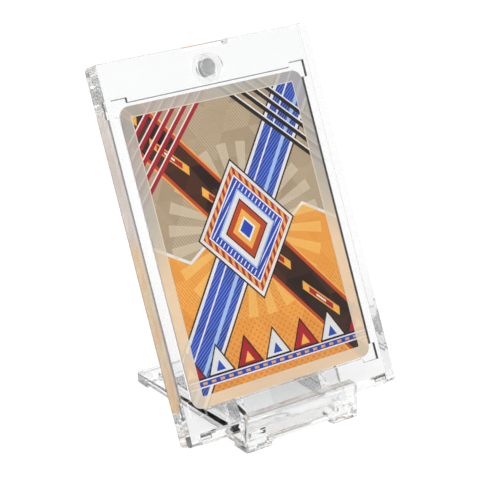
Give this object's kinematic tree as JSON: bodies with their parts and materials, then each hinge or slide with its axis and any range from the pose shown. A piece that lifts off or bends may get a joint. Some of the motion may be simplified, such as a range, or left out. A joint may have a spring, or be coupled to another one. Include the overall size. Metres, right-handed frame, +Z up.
{
  "type": "trading card display case",
  "caption": "Clear hinged card case with magnetic closure, leaning back in a small clear moulded stand with a front lip and ribbed back rest.",
  "frame": {"origin": "on the table, under the middle of the object's box", "axes": "+Z up, -Y towards the viewer and the card's face, +X to the viewer's right"},
  "size_m": [0.0732, 0.0612, 0.1089],
  "materials": {
    "stand_clear": "clear injection-moulded plastic, polished",
    "case_clear": "water-clear polished plastic with square polished edges",
    "plug_clear": "clear disc set flush in its seat",
    "pad_soft_clear": "soft clear, slightly cloudy",
    "magnet_plated": "nickel plated, satin grey",
    "card_print": null
  },
  "bodies": {
    "stand": {"stand": "stand_clear", "foot_pads": "pad_soft_clear"},
    "case": {"back_shell": "case_clear", "shell_magnet": "magnet_plated", "shell_magnet_plug": "plug_clear", "card": "card_print"},
    "cover": {"front_cover": "case_clear", "cover_magnet": "magnet_plated", "cover_magnet_plug": "plug_clear"}
  },
  "joints": [
    {"name": "case_lift", "type": "slide", "parent": "stand", "child": "case", "axis": [0, 0.3907, 0.9205], "range_m": [0, 0.065]},
    {"name": "cover_open", "type": "hinge", "parent": "case", "child": "cover", "pos_m": [0, -0.02586, 0.0069], "axis": [1, 0, 0], "range_deg": [0, 26]}
  ]
}
